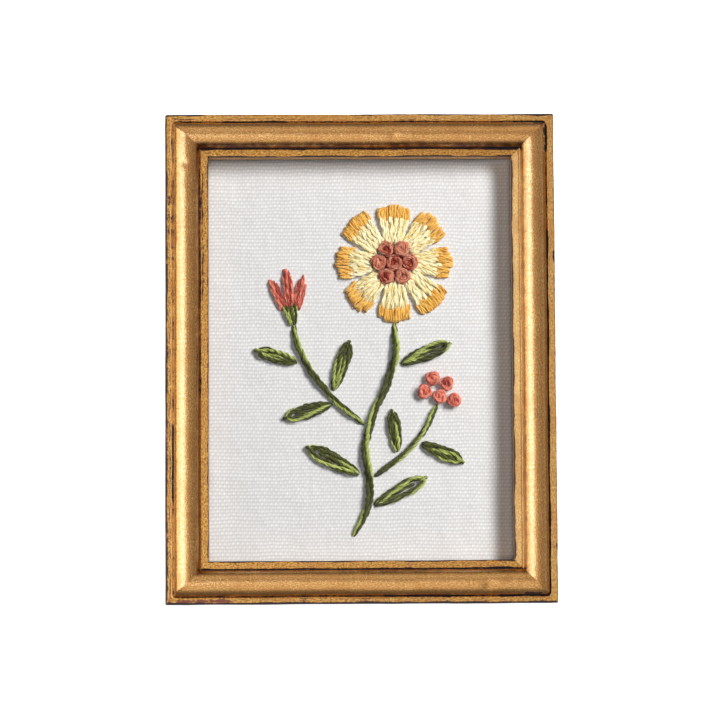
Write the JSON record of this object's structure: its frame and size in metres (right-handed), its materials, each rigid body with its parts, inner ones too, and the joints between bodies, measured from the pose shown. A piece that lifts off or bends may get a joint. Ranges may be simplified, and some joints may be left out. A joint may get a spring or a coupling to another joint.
{
  "type": "framed embroidery: stitched linen panel in a gilt moulding frame",
  "caption": "Upright rectangular gilt frame with a rounded bead moulding around a recessed linen panel stitched with a flowering sprig, to hang or to lay flat.",
  "frame": {"origin": "middle of the frame's back faces, on the surface that it lies on", "axes": "+X towards the picture's right side, +Y towards its top edge, +Z out of its face"},
  "size_m": [0.136, 0.171, 0.0196],
  "materials": {
    "gilt_moulding": "gilded and burnished over dark red clay, rubbed through at the grooves and edges, sides painted black",
    "linen_ground": "matte plain weave, off-white",
    "mount_board": "matte off-white card",
    "backing_board": "matte brown hardboard",
    "yellow_yarn": "soft wool yarn, pale yellow with golden tips",
    "terracotta_yarn": "soft wool yarn, terracotta",
    "green_yarn": "soft two-tone wool yarn, dark olive and lime",
    "coral_yarn": "soft wool yarn, coral red"
  },
  "bodies": {
    "root": {"rail_top": "gilt_moulding", "rail_bottom": "gilt_moulding", "rail_left": "gilt_moulding", "rail_right": "gilt_moulding", "linen": "linen_ground", "mount_board": "mount_board", "backing_board": "backing_board", "petal_1": "yellow_yarn", "petal_2": "yellow_yarn", "petal_3": "yellow_yarn", "petal_4": "yellow_yarn", "petal_5": "yellow_yarn", "petal_6": "yellow_yarn", "petal_7": "yellow_yarn", "petal_8": "yellow_yarn", "centre_knot_1": "terracotta_yarn", "centre_knot_2": "terracotta_yarn", "centre_knot_3": "terracotta_yarn", "centre_knot_4": "terracotta_yarn", "centre_knot_5": "terracotta_yarn", "centre_knot_6": "terracotta_yarn", "centre_knot_7": "terracotta_yarn", "stem_main": "green_yarn", "stem_bud": "green_yarn", "stem_berries": "green_yarn", "leaf_1": "green_yarn", "leaf_2": "green_yarn", "leaf_3": "green_yarn", "leaf_4": "green_yarn", "leaf_5": "green_yarn", "leaf_6": "green_yarn", "leaf_7": "green_yarn", "leaf_8": "green_yarn", "bud_petal_1": "coral_yarn", "bud_petal_2": "coral_yarn", "bud_petal_3": "coral_yarn", "bud_cup": "green_yarn", "berry_1": "coral_yarn", "berry_2": "coral_yarn", "berry_3": "coral_yarn", "berry_4": "coral_yarn", "berry_5": "coral_yarn"}
  },
  "joints": []
}
